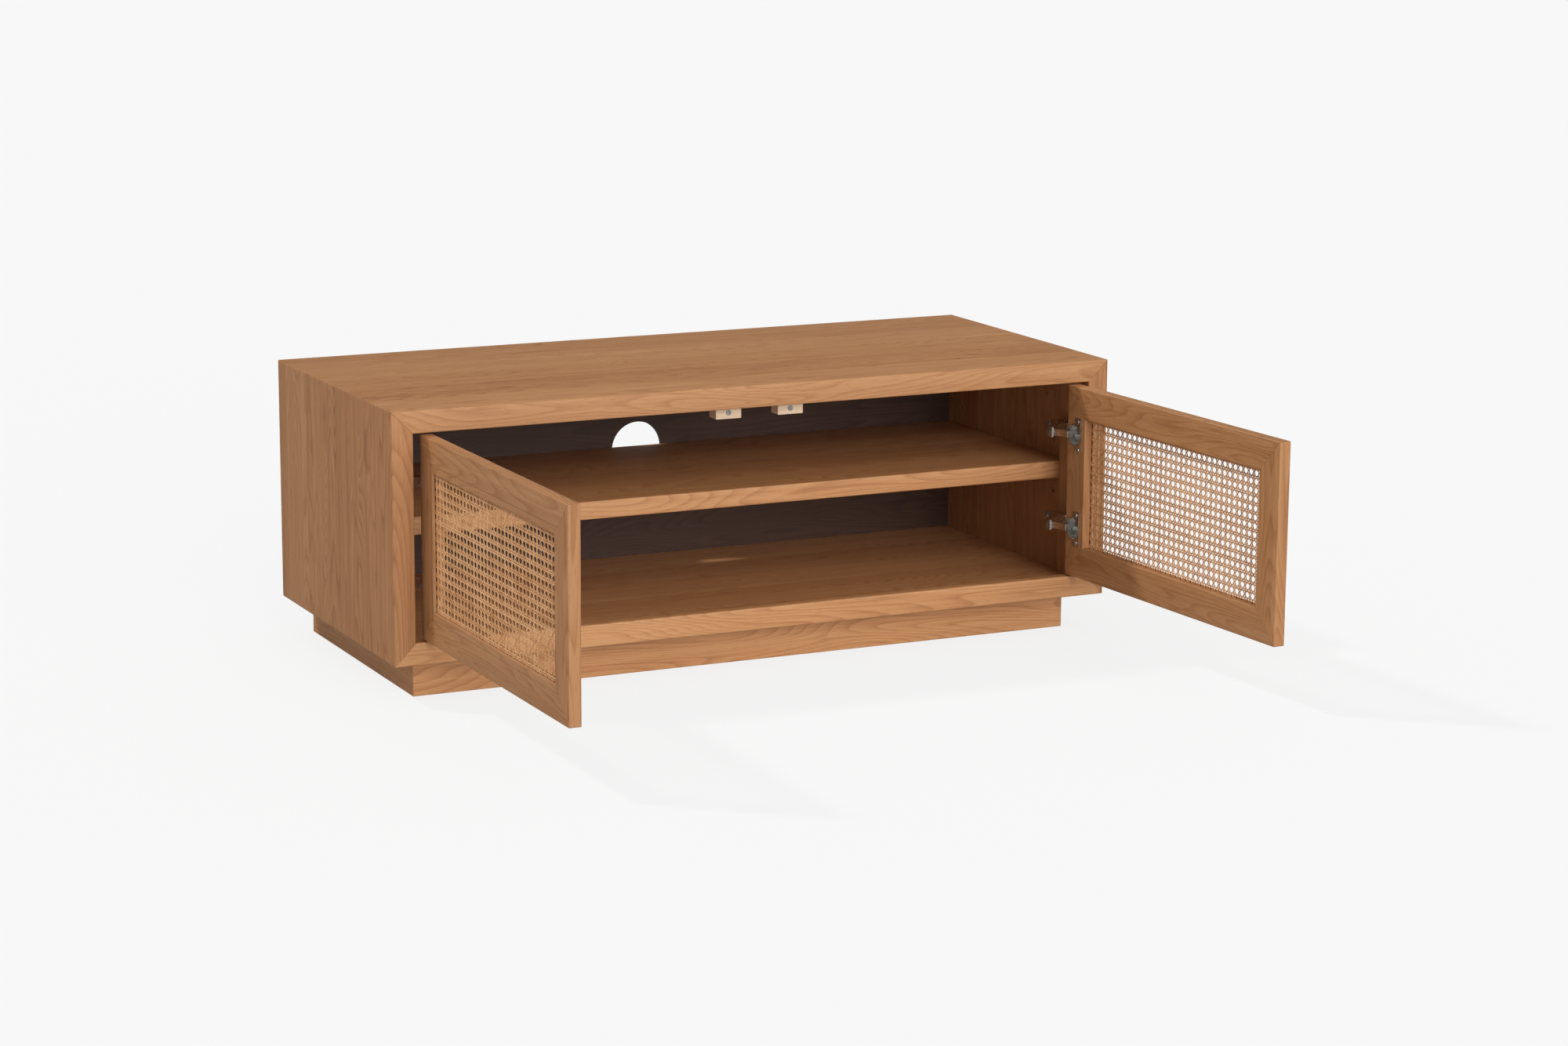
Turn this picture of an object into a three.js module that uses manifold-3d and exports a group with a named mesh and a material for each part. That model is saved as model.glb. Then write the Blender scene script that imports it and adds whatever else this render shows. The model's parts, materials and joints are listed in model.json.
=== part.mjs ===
// Media cabinet: a mitred carcass on a recessed plinth, with a shelf and two cane doors on cup hinges.
// Millimetres. +X is the cabinet's right seen from the front, +Y is its back, +Z is up.
// The floor is z = 0, and the middle of the carcass is over the origin. The doors stand open.
import * as THREE from 'three';
import { mergeVertices } from 'three/addons/utils/BufferGeometryUtils.js';
import Module from 'manifold-3d';

const wasm = await Module();
wasm.setup();

// ---- Sizes ---------------------------------------------------------------------------------------

const width = 1200;
const depth = 520;
const carcassHeight = 380;
const plinthHeight = 60;

const jointGap = 0.3; // between pieces that touch
const weldDistance = 1e-4; // between points of a mesh that are one corner
const overrun = 1; // of a cutter past the face that it opens
const holeFacets = 6; // to a half turn of a small hole or pin
const cupFacets = 12; // to a half turn of a hinge cup
const cableHoleFacets = 24;
const boardThickness = 20;
const lipThickness = 34; // of the carcass boards along their front edge, which makes them look heavy
const lipBehindDoor = 1; // how far the lip reaches back past a closed door
const boardRound = 2.5; // eased edges of the carcass and the shelf

const battenHousing = 3; // how far the hinge battens are let into the top and the bottom

const backThickness = 12;
const backSetIn = 20; // of the back panel, ahead of the back edges of the carcass
const backRebate = 10; // how far the back panel reaches into the boards round it
const cableHoleRadius = 45;
const cableHoleRise = 8; // of its centre, above the middle of the compartment

const shelfThickness = 28;
const shelfSetback = 88; // from the front of the carcass
const shelfEndGap = 2;
const shelfBackGap = 1;

const pinRadius = 4;
const pinLength = 24;
const pinHoleClearance = 0.3;
const pinHoleDepth = 11;
const pinRowPitch = 42; // between the heights of the pin holes
const pinSetIn = 42; // from the shelf's front and back edges

const plinthThickness = 20;
const plinthRound = 1.5;
const plinthSideInset = 46;
const plinthFrontInset = 50;
const plinthBackInset = 10;
const stretcherHalfWidth = 20;

const doorThickness = 19;
const doorSetIn = 1; // of the door's front behind the front of the carcass
const doorGap = 2.5; // at the hinged edge
const doorMeetingGap = 3; // between the two closed doors
const doorHeightGap = 3; // above and below a door
const doorRound = 2;
const doorFrameWidth = 50;
const beadWidth = 12;
const beadRebateDepth = 6;
const beadSetIn = 0.4; // of the bead's front behind the door's front
const beadOuterRound = 0.5;
const beadInnerRound = 2.6;
const rebateRound = 0.7; // of the edges of the rebate that holds the cane
const caneThickness = 1.4;

const leftOpenAngle = 90; // how far each door stands open, in degrees
const rightOpenAngle = 93;

// A door turns about an upright axis that lies this far in from the inner edge of the cabinet's lip,
// in the plane of the cabinet's front.
const pivotInset = 12;

const hingeFromDoorEnd = 78; // from the top and bottom of the door to a hinge's middle
const cupRadius = 17.5;
const cupDepth = 11;
const cupWall = 1;
const cupFromDoorEdge = 22; // to the cup's centre
const cupHoleClearance = 0.3;
const flangeThickness = 1.2;
const flangeHeight = 57;
const flangeWidth = 17;
const flangeFromCupCentre = 9.5;
const flangeRim = 1; // of the flange round the cup
const flangeCornerRound = 3;

const plateThickness = 2.2;
const plateScrewLine = 57; // behind the front of the cabinet
const wingLength = 54;
const wingWidth = 10;
const wingCornerRound = 4;
const riserHeight = 8.7;
const riserWidth = 11;

const armHeight = 15;
const armCheek = 2;
const armThickness = 11;
const armEnd = 98; // behind the front of the cabinet
const armKnuckleRadius = 3.2;
const armShoulderRound = 3; // where the arm bends up to its nose
const armTailRound = 1.5;
const forkClearance = 1.5; // round the link's knuckle
const linkThickness = 2;
const linkKnuckleRadius = 2.9;
const hingePinRadius = 1.3;
const hingePinClearance = 0.25;
const linkTurnRatio = 0.5; // of the link against the door, in the opposite sense

const catchWidth = 42;
const catchShows = 18; // of the catch block, below the carcass's front edge
const catchDepth = 24;
const catchFromMiddle = 52;
const catchRound = 1;
const magnetRadius = 4;
const magnetLength = 14;
const magnetFromFoot = 9; // of the catch block, to the magnet's centre
const catchGap = 0.4; // between a magnet and the back of a closed door
const strikeRadius = 2.5;
const strikeLength = 12;
const strikeSkin = 1.5; // of wood between the strike and the door's back
const strikeSink = 0.5; // of its end below the door's top edge
const strikeRoom = 1; // in the hole under the strike

// ---- Sizes that follow ---------------------------------------------------------------------------

const top = plinthHeight + carcassHeight;
const front = -depth / 2;
const back = depth / 2;
const backPanelFront = back - backSetIn - backThickness;

// The doors close inside the lip.
const lipX = width / 2 - lipThickness;
const lipBottom = plinthHeight + lipThickness;
const lipTop = top - lipThickness;
const middle = (lipBottom + lipTop) / 2;

// The compartment behind the lip.
const innerX = width / 2 - boardThickness;
const innerBottom = plinthHeight + boardThickness;
const innerTop = top - boardThickness;

const doorWidth = lipX - doorGap - doorMeetingGap / 2;
const doorHeight = lipTop - lipBottom - 2 * doorHeightGap;
const doorBackRow = doorSetIn + doorThickness; // of a closed door, behind the front of the cabinet
const lipDepth = doorBackRow + lipBehindDoor;
const hingeHeights = {
  upper: lipTop - doorHeightGap - hingeFromDoorEnd,
  lower: lipBottom + doorHeightGap + hingeFromDoorEnd,
};

// ---- Colours -------------------------------------------------------------------------------------

const finishes = {
  oak: { color: 0xa9784f, roughness: 0.5, metalness: 0 },
  darkOak: { color: 0x6b452b, roughness: 0.6, metalness: 0 },
  cane: { color: 0xc4915f, roughness: 0.65, metalness: 0 },
  nickel: { color: 0xb9b4ab, roughness: 0.25, metalness: 1 },
  steel: { color: 0x8d8b88, roughness: 0.35, metalness: 1 },
};

// ---- Solids --------------------------------------------------------------------------------------

const X = new THREE.Vector3(1, 0, 0);
const Y = new THREE.Vector3(0, 1, 0);
const Z = new THREE.Vector3(0, 0, 1);
const quarterTurn = Math.PI / 2;

function toSolid(geometry) {
  const bare = geometry.clone();
  bare.deleteAttribute('normal');
  bare.deleteAttribute('uv');
  const merged = mergeVertices(bare, weldDistance);
  const mesh = new wasm.Mesh({
    numProp: 3,
    vertProperties: new Float32Array(merged.attributes.position.array),
    triVerts: new Uint32Array(merged.index.array),
  });
  mesh.merge();
  return new wasm.Manifold(mesh);
}

function toGeometry(solid) {
  const mesh = solid.getMesh();
  const geometry = new THREE.BufferGeometry();
  geometry.setAttribute('position', new THREE.BufferAttribute(mesh.vertProperties, 3));
  geometry.setIndex(new THREE.BufferAttribute(mesh.triVerts, 1));
  geometry.computeVertexNormals();
  return geometry;
}

function cut(geometry, ...cutters) {
  let solid = toSolid(geometry);
  for (const cutter of cutters) {
    solid = solid.subtract(toSolid(cutter));
  }
  return toGeometry(solid);
}

function join(geometry, ...others) {
  let solid = toSolid(geometry);
  for (const other of others) {
    solid = solid.add(toSolid(other));
  }
  return toGeometry(solid);
}

function common(geometry, other) {
  return toGeometry(toSolid(geometry).intersect(toSolid(other)));
}

function box([x0, x1], [y0, y1], [z0, z1]) {
  const geometry = new THREE.BoxGeometry(x1 - x0, y1 - y0, z1 - z0);
  return geometry.translate((x0 + x1) / 2, (y0 + y1) / 2, (z0 + z1) / 2);
}

// A shape pushed out along an axis. Along X the shape is drawn in Y and Z, along Y in X and Z, and
// along Z in X and Y.
function prism(shape, axis, from, to, curveSegments = 4) {
  const geometry = new THREE.ExtrudeGeometry(shape, { depth: to - from, bevelEnabled: false, curveSegments });
  const frames = {
    x: new THREE.Matrix4().makeBasis(Y, Z, X).setPosition(from, 0, 0),
    y: new THREE.Matrix4().makeBasis(X, Z, Y.clone().negate()).setPosition(0, to, 0),
    z: new THREE.Matrix4().makeBasis(X, Y, Z).setPosition(0, 0, from),
  };
  return geometry.applyMatrix4(frames[axis]);
}

// A closed outline through corners [x, y, radius], with a round of that radius at each corner.
function outline(corners) {
  const shape = new THREE.Shape();
  corners.forEach(([x, y, radius], i) => {
    const corner = new THREE.Vector2(x, y);
    const before = new THREE.Vector2(...corners[(i + corners.length - 1) % corners.length]);
    const after = new THREE.Vector2(...corners[(i + 1) % corners.length]);
    const start = corner.clone().add(before.sub(corner).setLength(radius));
    const end = corner.clone().add(after.sub(corner).setLength(radius));
    if (i === 0) {
      shape.moveTo(start.x, start.y);
    } else {
      shape.lineTo(start.x, start.y);
    }
    if (radius > 0) {
      shape.quadraticCurveTo(corner.x, corner.y, end.x, end.y);
    }
  });
  shape.closePath();
  return shape;
}

function ordered(a, b) {
  return [Math.min(a, b), Math.max(a, b)];
}

function rectangle([x0, x1], [y0, y1], radius = 0) {
  return outline([[x0, y0, radius], [x1, y0, radius], [x1, y1, radius], [x0, y1, radius]]);
}

function disc(x, y, radius) {
  return new THREE.Shape().absarc(x, y, radius, 0, 2 * Math.PI);
}

// A flat bar with round ends, from one point to another.
function strip(from, to, radius) {
  const angle = Math.atan2(to[1] - from[1], to[0] - from[0]);
  const shape = new THREE.Shape();
  shape.absarc(to[0], to[1], radius, angle - quarterTurn, angle + quarterTurn);
  shape.absarc(from[0], from[1], radius, angle + quarterTurn, angle + 3 * quarterTurn);
  shape.closePath();
  return shape;
}

// ---- Scene graph ---------------------------------------------------------------------------------

const cabinet = new THREE.Group();

function addPiece(parent, name, finish, geometry) {
  const piece = new THREE.Mesh(geometry, new THREE.MeshStandardMaterial(finishes[finish]));
  piece.name = name;
  parent.add(piece);
  return piece;
}

// ---- Mitred frames -------------------------------------------------------------------------------

// One bar of a mitred frame. It lies along X with its outer face at z = 0 and is `size` wide inwards.
// The section is drawn in Y and Z. The bar's ends are cut at 45 degrees, half a joint gap short.
function mitredBar(section, length, size, tipRound) {
  const slip = jointGap / Math.SQRT2;
  const half = length / 2 - slip;
  const arcX = half - tipRound;
  const face = new THREE.Shape();
  face.absarc(arcX, -tipRound, tipRound, Math.PI / 4, Math.PI / 2);
  face.absarc(-arcX, -tipRound, tipRound, Math.PI / 2, (3 * Math.PI) / 4);
  face.lineTo(-half + size, -size);
  face.lineTo(half - size, -size);
  face.closePath();
  const bar = prism(section, 'x', -length / 2, length / 2);
  bar.computeBoundingBox();
  return common(bar, prism(face, 'y', bar.boundingBox.min.y - overrun, bar.boundingBox.max.y + overrun));
}

// Four mitred bars round a rectangle in the XZ plane, centred on the parent's origin.
// `names` are those of the top, right, bottom and left bars.
function mitredFrame(parent, names, finish, frameWidth, frameHeight, section, size, tipRound) {
  return names.map((name, i) => {
    const upright = i % 2 === 1;
    const length = upright ? frameHeight : frameWidth;
    const reach = upright ? frameWidth / 2 : frameHeight / 2;
    const angle = i * quarterTurn;
    const bar = addPiece(parent, name, finish, mitredBar(section, length, size, tipRound));
    bar.rotation.y = angle;
    bar.position.set(reach * Math.sin(angle), 0, reach * Math.cos(angle));
    return bar;
  });
}

// ---- Carcass -------------------------------------------------------------------------------------

function shelfPinRows() {
  const shelfBack = backPanelFront - shelfBackGap;
  return [front + shelfSetback + pinSetIn, shelfBack - pinSetIn];
}

function addCarcass() {
  const carcass = new THREE.Group();
  carcass.position.z = plinthHeight + carcassHeight / 2;
  cabinet.add(carcass);
  const rebateFront = backPanelFront - jointGap;
  const rebateInside = -boardThickness + backRebate;
  const section = outline([
    [front, 0, boardRound],
    [back, 0, boardRound],
    [back, rebateInside, 0],
    [rebateFront, rebateInside, 0],
    [rebateFront, -boardThickness, 0],
    [front + lipDepth, -boardThickness, 0],
    [front + lipDepth, -lipThickness, boardRound],
    [front, -lipThickness, boardRound],
  ]);
  const names = ['top', 'right_side', 'bottom', 'left_side'];
  const bars = mitredFrame(carcass, names, 'oak', width, carcassHeight, section, lipThickness, boardRound);
  for (const side of [bars[1], bars[3]]) {
    side.geometry = cut(join(side.geometry, hingeBatten()), ...pinHolesInSide());
  }
  for (const level of [bars[0], bars[2]]) {
    level.geometry = cut(level.geometry, battenHole(-1), battenHole(1));
  }
}

// A batten glued to the inside of a side, from the lip to the shelf's front, which brings the hinge
// plates out level with the lip. The side lies along X, as it does before it is turned upright.
function hingeBatten() {
  const half = carcassHeight / 2 - boardThickness + battenHousing - jointGap;
  const rows = [front + lipDepth + jointGap, front + shelfSetback - jointGap];
  return box([-half, half], rows, [-lipThickness, -boardThickness + overrun]);
}

// The housing for the end of a batten, in a top or bottom that lies along X with its outer face at z = 0.
function battenHole(sign) {
  const span = ordered(sign * (lipX - jointGap), sign * (innerX + battenHousing + overrun));
  const rows = [front + lipDepth, front + shelfSetback];
  return box(span, rows, [-boardThickness - overrun, -boardThickness + battenHousing]);
}

// A side lies along X before it is turned upright, so its pin holes run in from z = -boardThickness.
// Their three heights are the same distance apart, with the compartment's middle between them.
function pinHolesInSide() {
  const holes = [];
  for (const row of shelfPinRows()) {
    for (const step of [-1, 0, 1]) {
      const shape = disc(step * pinRowPitch, row, pinRadius + pinHoleClearance);
      holes.push(prism(shape, 'z', -boardThickness - overrun, -boardThickness + pinHoleDepth, holeFacets));
    }
  }
  return holes;
}

function addBackPanel() {
  const reach = backRebate - jointGap;
  const shape = rectangle([-innerX - reach, innerX + reach], [innerBottom - reach, innerTop + reach]);
  shape.holes.push(new THREE.Path().absarc(0, middle + cableHoleRise, cableHoleRadius, 0, 2 * Math.PI));
  const rows = [backPanelFront, backPanelFront + backThickness];
  addPiece(cabinet, 'back_panel', 'darkOak', prism(shape, 'y', ...rows, cableHoleFacets));
}

function addShelf() {
  const shelfFront = front + shelfSetback;
  const shelfBack = backPanelFront - shelfBackGap;
  const half = innerX - shelfEndGap;
  const heights = [middle - shelfThickness / 2, middle + shelfThickness / 2];
  const board = prism(rectangle([shelfFront, shelfBack], heights, boardRound), 'x', -half, half);
  const pinTip = innerX + pinHoleDepth - jointGap; // the pin's far end, deep in the side
  const pinHead = pinTip - pinLength;
  const sockets = [];
  const hands = { left: -1, right: 1 };
  for (const [hand, sign] of Object.entries(hands)) {
    shelfPinRows().forEach((row, i) => {
      const socketEnds = ordered(sign * (pinHead - jointGap), sign * (half + overrun));
      sockets.push(prism(disc(row, middle, pinRadius + pinHoleClearance), 'x', ...socketEnds, holeFacets));
      const pinEnds = ordered(sign * pinHead, sign * pinTip);
      const name = `shelf_pin_${hand}_${i === 0 ? 'front' : 'back'}`;
      addPiece(cabinet, name, 'steel', prism(disc(row, middle, pinRadius), 'x', ...pinEnds, holeFacets));
    });
  }
  addPiece(cabinet, 'shelf', 'oak', cut(board, ...sockets));
}

// ---- Plinth --------------------------------------------------------------------------------------

// The plinth is a mitred frame laid flat, so its section is drawn with the floor along +Y.
function addPlinth() {
  const plinth = new THREE.Group();
  const plinthWidth = width - 2 * plinthSideInset;
  const plinthDepth = depth - plinthFrontInset - plinthBackInset;
  const height = plinthHeight - jointGap;
  plinth.position.set(0, (plinthFrontInset - plinthBackInset) / 2, height / 2);
  plinth.rotation.x = -quarterTurn;
  cabinet.add(plinth);
  const section = outline([
    [-height / 2, -plinthThickness, 0],
    [height / 2, -plinthThickness, plinthRound],
    [height / 2, 0, plinthRound],
    [-height / 2, 0, 0],
  ]);
  const names = ['plinth_back', 'plinth_right', 'plinth_front', 'plinth_left'];
  mitredFrame(plinth, names, 'oak', plinthWidth, plinthDepth, section, plinthThickness, plinthRound);

  const inset = plinthThickness + jointGap;
  const stretcherWidth = [-stretcherHalfWidth, stretcherHalfWidth];
  const stretcherDepth = [front + plinthFrontInset + inset, back - plinthBackInset - inset];
  addPiece(cabinet, 'plinth_stretcher', 'oak', box(stretcherWidth, stretcherDepth, [0, height]));
}

// ---- Catches -------------------------------------------------------------------------------------

const magnetFront = doorBackRow + catchGap;
const catchTop = innerTop - jointGap;
const catchFoot = lipTop - catchShows;
const magnetZ = catchFoot + magnetFromFoot;

function addCatch(hand, sign) {
  const x = sign * catchFromMiddle;
  const blockFront = front + lipDepth + jointGap;
  const blockX = [x - catchWidth / 2, x + catchWidth / 2];
  const shape = rectangle(blockX, [catchFoot, catchTop], catchRound);
  const block = prism(shape, 'y', blockFront, blockFront + catchDepth);
  const magnetRows = [front + magnetFront, front + magnetFront + magnetLength];
  const boreRows = [blockFront - overrun, magnetRows[1] + jointGap];
  const bore = prism(disc(x, magnetZ, magnetRadius + jointGap), 'y', ...boreRows, holeFacets);
  addPiece(cabinet, `catch_block_${hand}`, 'oak', cut(block, bore));
  const magnet = prism(disc(x, magnetZ, magnetRadius), 'y', ...magnetRows, holeFacets);
  addPiece(cabinet, `catch_magnet_${hand}`, 'steel', magnet);
}

// ---- Hinges --------------------------------------------------------------------------------------

// A hinge is drawn for the left door, in plan. Its first number is the distance in from the inner edge
// of the cabinet's lip, and its second, the row, is the distance behind the front of the cabinet.
// The link is drawn for a door open at 90 degrees, from its knuckle on the arm, past the edge of the
// door's back face, to its tip in the cup.
const openBackFace = pivotInset + doorBackRow;
const openCupRow = pivotInset - doorGap - cupFromDoorEdge;
const armKnuckle = [openBackFace + 18, 25.5];
const linkTip = [openBackFace - 3, openCupRow + 11.8];
const linkRoute = [armKnuckle, [openBackFace + 7.4, 9], [openBackFace + 6, openCupRow + 9.7], linkTip];

function mirrored(shape, sign) {
  const points = shape.getPoints(holeFacets);
  return new THREE.Shape(points.map((point) => new THREE.Vector2(-sign * point.x, point.y)));
}

// A plan outline pushed up between two heights that are measured from the hinge's middle.
function hingeSlab(sign, shape, from, to) {
  return prism(mirrored(shape, sign), 'z', from, to);
}

function hingePlate(sign) {
  const screwSpan = [plateScrewLine - wingWidth / 2, plateScrewLine + wingWidth / 2];
  const wingShape = rectangle(screwSpan, [-wingLength / 2, wingLength / 2], wingCornerRound);
  const wingX = ordered(-sign * jointGap, -sign * plateThickness);
  const wing = prism(wingShape, 'x', ...wingX);
  const riserShape = rectangle([jointGap, riserHeight], [screwSpan[0], armEnd]);
  return join(wing, hingeSlab(sign, riserShape, -riserWidth / 2, riserWidth / 2));
}

function hingePinHole(sign, centre) {
  return hingeSlab(sign, disc(...centre, hingePinRadius + hingePinClearance), -armHeight, armHeight);
}

function hingeArm(sign) {
  const [noseX, noseRow] = armKnuckle;
  const seat = riserHeight + jointGap;
  const nose = armKnuckleRadius;
  const side = outline([
    [noseX + nose, noseRow, 0],
    [noseX + nose, noseRow + armThickness, armShoulderRound],
    [seat + armThickness, plateScrewLine + armThickness, armShoulderRound],
    [seat + armThickness, armEnd, armTailRound],
    [seat, armEnd, armTailRound],
    [seat, plateScrewLine - wingWidth / 2, armShoulderRound],
    [noseX - nose, noseRow + nose, armTailRound],
    [noseX - nose, noseRow, 0],
  ]);
  const body = hingeSlab(sign, side, -armHeight / 2, armHeight / 2);
  const knuckle = hingeSlab(sign, disc(noseX, noseRow, nose), -armHeight / 2, armHeight / 2);
  const forkRoom = linkKnuckleRadius + forkClearance;
  const forkHalf = armHeight / 2 - armCheek;
  const fork = hingeSlab(
    sign,
    rectangle([noseX - 2 * forkRoom, noseX + 2 * forkRoom], [noseRow - 2 * forkRoom, noseRow + forkRoom]),
    -forkHalf,
    forkHalf,
  );
  return cut(join(body, knuckle), fork, hingePinHole(sign, armKnuckle));
}

function hingePin(sign) {
  const half = armHeight / 2 - jointGap;
  return hingeSlab(sign, disc(...armKnuckle, hingePinRadius), -half, half);
}

// The link is drawn about its own knuckle, so that the knuckle is its origin.
function hingeLink(sign) {
  const half = armHeight / 2 - armCheek - jointGap;
  const [knuckle, ...bends] = linkRoute.map(([x, row]) => [x - armKnuckle[0], row - armKnuckle[1]]);
  let link = hingeSlab(sign, disc(...knuckle, linkKnuckleRadius), -half, half);
  let from = knuckle;
  for (const to of bends) {
    link = join(link, hingeSlab(sign, strip(from, to, linkThickness / 2), -half, half));
    from = to;
  }
  return cut(link, hingePinHole(sign, knuckle));
}

// The cup and its flange are drawn about the cup's centre, with the door's back face at y = 0.
function hingeCup(towardsHinge) {
  const cup = prism(disc(0, 0, cupRadius), 'y', -cupDepth, jointGap, cupFacets);
  const bowlRows = [cupWall - cupDepth, jointGap + flangeThickness + overrun];
  const bowl = prism(disc(0, 0, cupRadius - cupWall), 'y', ...bowlRows, cupFacets);
  const flangeX = -towardsHinge * flangeFromCupCentre;
  const earSpan = [flangeX - flangeWidth / 2, flangeX + flangeWidth / 2];
  const earShape = rectangle(earSpan, [-flangeHeight / 2, flangeHeight / 2], flangeCornerRound);
  const flangeRows = [jointGap, jointGap + flangeThickness];
  const ears = prism(earShape, 'y', ...flangeRows);
  const rim = prism(disc(0, 0, cupRadius + flangeRim), 'y', ...flangeRows, cupFacets);
  return cut(join(cup, rim, ears), bowl);
}

// ---- Doors ---------------------------------------------------------------------------------------

// A door is drawn closed and about its middle, with its front face at y = 0 and its back towards +Y.
// `towardsHinge` is -1 on the left door and 1 on the right one.
const doorFrameSection = outline([
  [0, 0, doorRound],
  [0, beadWidth - doorFrameWidth, rebateRound],
  [beadRebateDepth, beadWidth - doorFrameWidth, 0],
  [beadRebateDepth, -doorFrameWidth, rebateRound],
  [doorThickness, -doorFrameWidth, doorRound],
  [doorThickness, 0, doorRound],
]);

// The names of the top, right, bottom and left bars of a frame in this door.
function doorBarNames(hand, towardsHinge, [across, top, bottom, upright]) {
  const [right, left] = towardsHinge > 0 ? ['hinge', 'free'] : ['free', 'hinge'];
  const names = [`${top}_${across}`, `${right}_${upright}`, `${bottom}_${across}`, `${left}_${upright}`];
  return names.map((name) => `${hand}_door_${name}`);
}

function addDoorFrame(door, hand, towardsHinge) {
  const names = doorBarNames(hand, towardsHinge, ['rail', 'top', 'bottom', 'stile']);
  const section = doorFrameSection;
  const bars = mitredFrame(door, names, 'oak', doorWidth, doorHeight, section, doorFrameWidth, doorRound);
  const hingeStile = towardsHinge > 0 ? bars[1] : bars[3];
  hingeStile.geometry = cut(hingeStile.geometry, ...cupHoles());
  const strikeHoleLength = overrun + strikeSink + strikeLength + strikeRoom;
  const strikeHole = strikeBar(towardsHinge, strikeRadius + jointGap, -overrun, strikeHoleLength);
  bars[0].geometry = cut(bars[0].geometry, strikeHole);
}

// A stile lies along X before it is turned upright, with its outer edge at z = 0.
function cupHoles() {
  const bottomRow = doorThickness - cupDepth - cupHoleClearance;
  return [-1, 1].map((end) => {
    const along = end * (doorHeight / 2 - hingeFromDoorEnd);
    const shape = disc(along, -cupFromDoorEdge, cupRadius + cupHoleClearance);
    return prism(shape, 'y', bottomRow, doorThickness + overrun, cupFacets);
  });
}

// The strike is a steel pin let down into the door's top edge, just behind where the magnet meets the
// closed door. `sink` is how far below the edge it starts.
function strikeBar(towardsHinge, radius, sink, length) {
  const x = towardsHinge * (catchFromMiddle - doorMeetingGap / 2 - doorWidth / 2);
  const row = doorThickness - strikeSkin - strikeRadius;
  return prism(disc(x, row, radius), 'z', -sink - length, -sink, holeFacets);
}

// How far the bead and the cane lie in from the edges of the door.
const beadInset = doorFrameWidth - beadWidth + jointGap;

// Four mitred sticks hold the cane in from the front.
function addBead(door, hand, towardsHinge) {
  const names = doorBarNames(hand, towardsHinge, ['bead', 'top', 'bottom', 'bead']);
  const stickWidth = beadWidth - jointGap;
  const backRow = beadRebateDepth - 2 * jointGap - caneThickness;
  const section = outline([
    [beadSetIn, 0, beadOuterRound],
    [beadSetIn, -stickWidth, beadInnerRound],
    [backRow, -stickWidth, 0],
    [backRow, 0, 0],
  ]);
  const size = [doorWidth - 2 * beadInset, doorHeight - 2 * beadInset];
  mitredFrame(door, names, 'oak', ...size, section, stickWidth, beadOuterRound);
}

function canePanel() {
  const half = { x: doorWidth / 2 - beadInset, z: doorHeight / 2 - beadInset };
  const backRow = beadRebateDepth - jointGap;
  return box([-half.x, half.x], [backRow - caneThickness, backRow], [-half.z, half.z]);
}

function addDoor(hand, towardsHinge, openAngle) {
  const pivotX = lipX - pivotInset;
  const hinged = new THREE.Group();
  hinged.position.set(towardsHinge * pivotX, front, 0);
  hinged.rotation.z = THREE.MathUtils.degToRad(towardsHinge * openAngle);
  cabinet.add(hinged);
  const door = new THREE.Group();
  const doorMiddle = doorMeetingGap / 2 + doorWidth / 2;
  door.position.set(towardsHinge * (doorMiddle - pivotX), doorSetIn, middle);
  hinged.add(door);

  addDoorFrame(door, hand, towardsHinge);
  addPiece(door, `${hand}_door_cane`, 'cane', canePanel());
  addBead(door, hand, towardsHinge);
  const strike = strikeBar(towardsHinge, strikeRadius, strikeSink, strikeLength);
  addPiece(door, `${hand}_door_strike`, 'steel', strike).position.z = doorHeight / 2;
  for (const [level, end] of Object.entries({ upper: 1, lower: -1 })) {
    const cup = addPiece(door, `hinge_cup_${hand}_${level}`, 'nickel', hingeCup(towardsHinge));
    const x = towardsHinge * (doorWidth / 2 - cupFromDoorEdge);
    cup.position.set(x, doorThickness, end * (doorHeight / 2 - hingeFromDoorEnd));
  }
}

function addHinge(hand, level, sign, openAngle, height) {
  const hinge = new THREE.Group();
  hinge.position.set(sign * lipX, front, height);
  cabinet.add(hinge);
  const place = `${hand}_${level}`;
  addPiece(hinge, `hinge_plate_${place}`, 'nickel', hingePlate(sign));
  addPiece(hinge, `hinge_arm_${place}`, 'nickel', hingeArm(sign));
  addPiece(hinge, `hinge_pin_${place}`, 'steel', hingePin(sign));
  const link = addPiece(hinge, `hinge_link_${place}`, 'nickel', hingeLink(sign));
  link.position.set(-sign * armKnuckle[0], armKnuckle[1], 0);
  link.rotation.z = THREE.MathUtils.degToRad(-sign * linkTurnRatio * (openAngle - 90));
}

// ---- The whole cabinet ---------------------------------------------------------------------------

addCarcass();
addBackPanel();
addShelf();
addPlinth();
const sides = [
  { hand: 'left', sign: -1, openAngle: leftOpenAngle },
  { hand: 'right', sign: 1, openAngle: rightOpenAngle },
];
for (const { hand, sign, openAngle } of sides) {
  addCatch(hand, sign);
  addDoor(hand, sign, openAngle);
  for (const [level, height] of Object.entries(hingeHeights)) {
    addHinge(hand, level, sign, openAngle, height);
  }
}

export default cabinet;
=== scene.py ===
"""Looks for the media cabinet: oak, woven cane, plated hinges and their screws, a pale studio, a camera."""
import json
import math
import random

import bpy
import numpy as np
from mathutils import Matrix, Vector


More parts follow.
